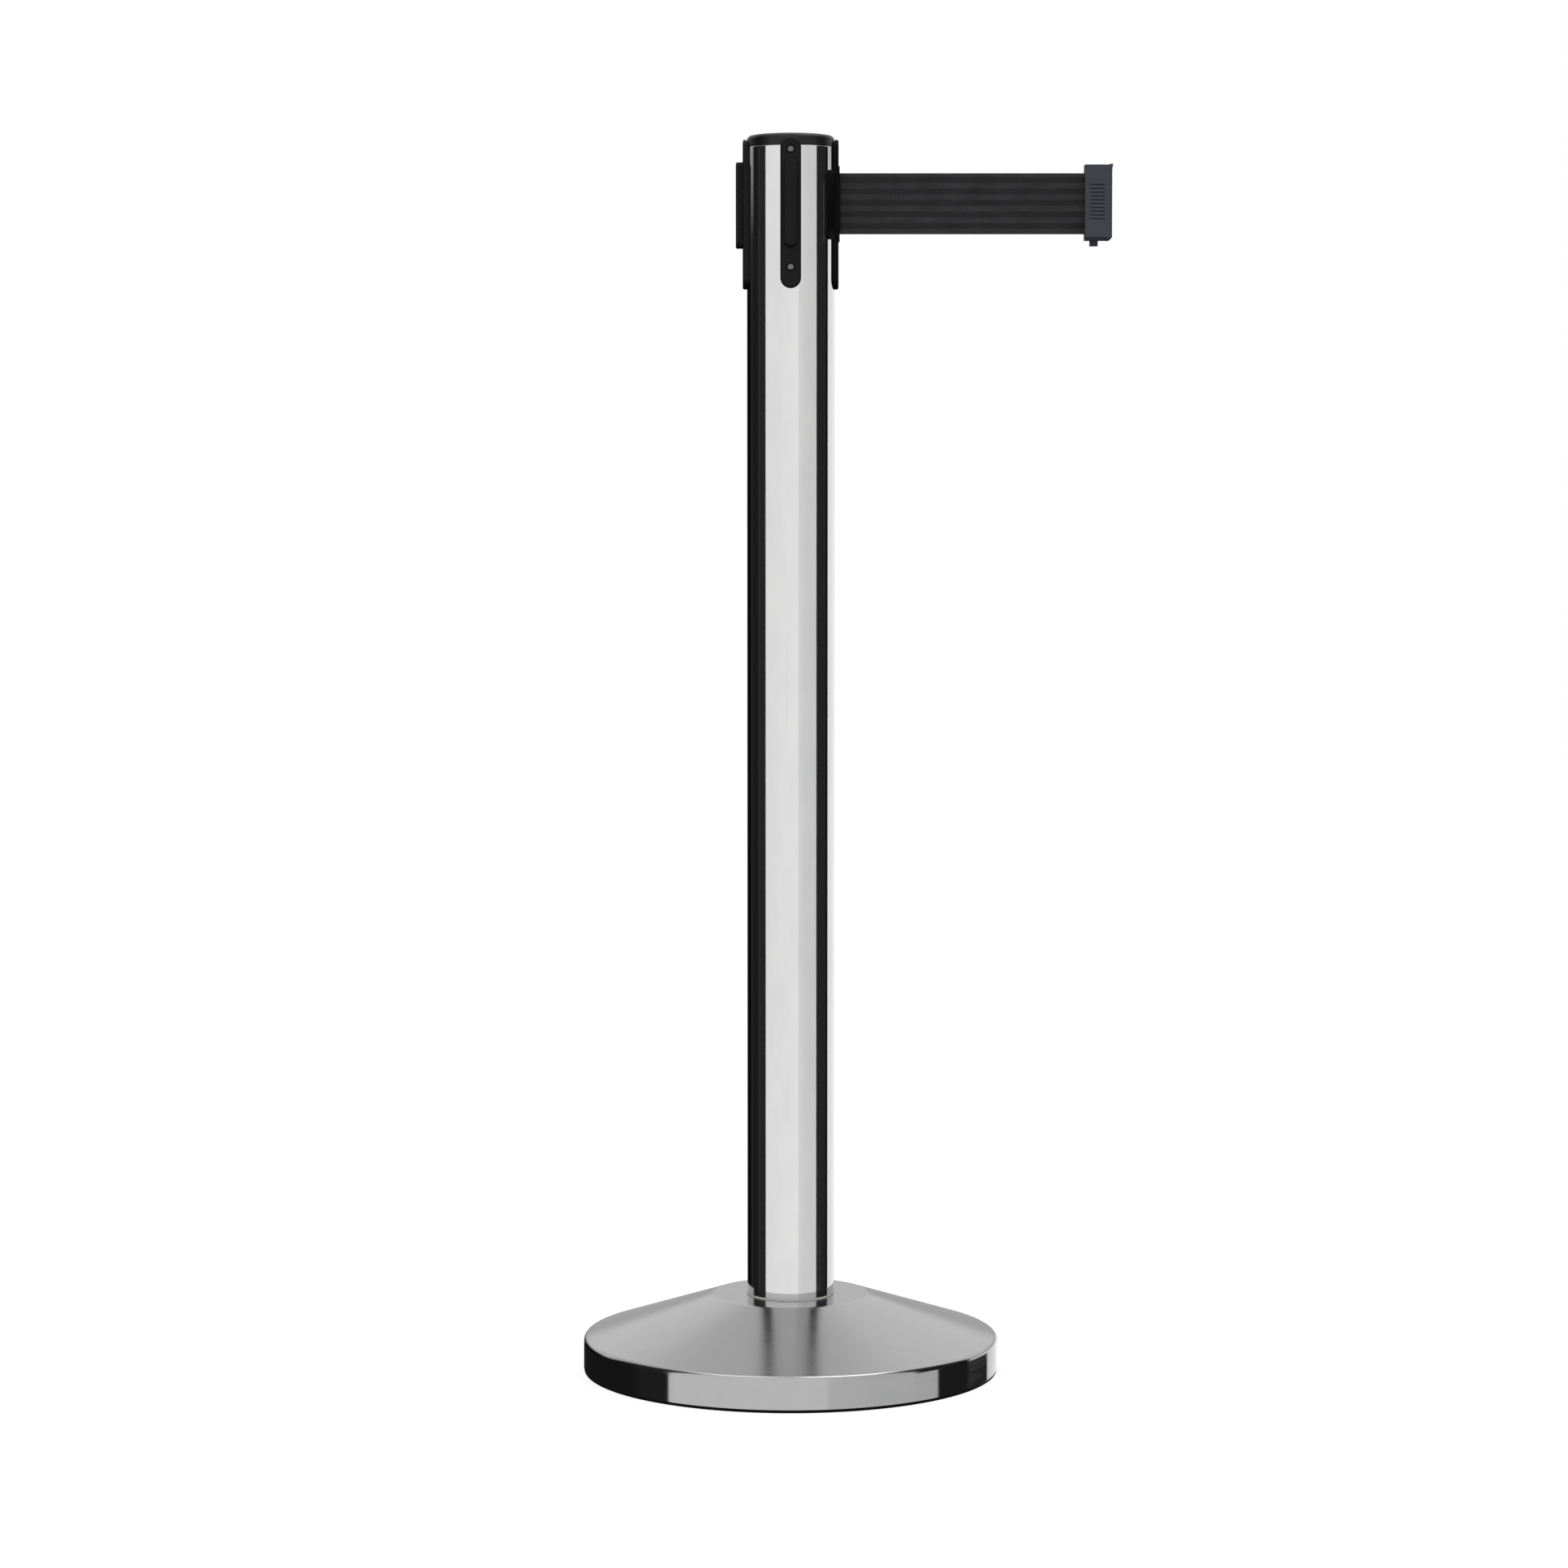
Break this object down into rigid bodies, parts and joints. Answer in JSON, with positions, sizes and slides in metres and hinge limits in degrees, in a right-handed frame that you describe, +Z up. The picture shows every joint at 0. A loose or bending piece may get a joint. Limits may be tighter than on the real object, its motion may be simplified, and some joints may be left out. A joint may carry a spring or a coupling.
{
  "type": "retractable belt stanchion",
  "caption": "Free-standing queue barrier post with a weighted cone base, receiver rails on three sides and a sprung belt drawn out to one side, its end clip hooking over another post's rail.",
  "frame": {"origin": "on the floor, at the post's axis", "axes": "+Z up along the post, +X the way the belt leaves, -Y the front receiver"},
  "size_m": [0.3859, 0.3044, 0.9057],
  "materials": {
    "polished_stainless": "mirror-polished stainless steel, roughness about 0.05",
    "black_moulding": "satin black moulded nylon with a fine texture",
    "clip_moulding": "satin blue-grey moulded plastic",
    "belt_webbing": "black polyester webbing, ribbed across, with five lighter lengthwise bands",
    "bright_screws": "bright nickel-plated steel",
    "floor_rubber": "black rubber",
    "cast_weight": "rough sand-cast iron, dark primer",
    "zinc_steel": "zinc-plated steel",
    "gasket_nylon": "pale translucent nylon",
    "frame_plastic": "dark grey glass-filled nylon",
    "drum_plastic": "natural acetal",
    "bush_bronze": "sintered bronze",
    "spring_steel": "blued spring steel"
  },
  "bodies": {
    "post": {"floor_ring": "floor_rubber", "base_weight": "cast_weight", "base_cover": "polished_stainless", "base_bolt": "zinc_steel", "base_washer": "zinc_steel", "foot_gasket": "gasket_nylon", "post_plug": "zinc_steel", "post_tube": "polished_stainless", "top_cap": "black_moulding", "receiver_front": "black_moulding", "receiver_left": "black_moulding", "receiver_back": "black_moulding", "belt_outlet": "black_moulding", "plate_screws": "bright_screws", "frame_lower_plate": "frame_plastic", "frame_upper_plate": "frame_plastic", "frame_pillars": "zinc_steel", "drum_axle": "zinc_steel", "axle_e_clips": "zinc_steel", "spring_arbor": "frame_plastic", "thrust_washer": "bush_bronze", "guide_pins": "zinc_steel", "belt_lead": "belt_webbing"},
    "drum": {"belt_drum": "drum_plastic", "drum_bushes": "bush_bronze", "return_spring": "spring_steel", "belt_coil": "belt_webbing"},
    "roller_a": {"guide_roller_a": "drum_plastic"},
    "roller_b": {"guide_roller_b": "drum_plastic"},
    "clip": {"belt_strap": "belt_webbing", "clip_front_shell": "clip_moulding", "clip_back_shell": "clip_moulding", "clip_screws": "bright_screws", "belt_pin": "zinc_steel"},
    "tab": {"release_tab": "clip_moulding", "tab_spring": "spring_steel"}
  },
  "joints": [
    {"name": "belt_payout", "type": "slide", "parent": "post", "child": "clip", "axis": [1, 0, 0], "range_m": [-0.177, 1.72], "stiffness_N_per_m": 2, "springref_m": -4.2, "deforming": ["belt_strap"]},
    {"name": "drum_spin", "type": "hinge", "parent": "post", "child": "drum", "pos_m": [0, 0, 0.8548], "axis": [0, 0, 1], "range_deg": [-6030, 630], "deforming": ["belt_coil", "return_spring"]},
    {"name": "roller_a_spin", "type": "hinge", "parent": "post", "child": "roller_a", "pos_m": [0.0265, 0.0028, 0.847], "axis": [0, 0, 1], "range_deg": [-4240, 41080]},
    {"name": "roller_b_spin", "type": "hinge", "parent": "post", "child": "roller_b", "pos_m": [0.0265, -0.0028, 0.847], "axis": [0, 0, 1], "range_deg": [-41080, 4240]},
    {"name": "tab_press", "type": "slide", "parent": "clip", "child": "tab", "axis": [0, 0, 1], "range_m": [0, 0.002], "stiffness_N_per_m": 400, "springref_m": -0.004, "deforming": ["tab_spring"]}
  ],
  "couplings": [
    {"joint": "drum_spin", "follows": "belt_payout", "rad_per_m": -61},
    {"joint": "roller_a_spin", "follows": "belt_payout", "rad_per_m": 416.67},
    {"joint": "roller_b_spin", "follows": "belt_payout", "rad_per_m": -416.67}
  ]
}
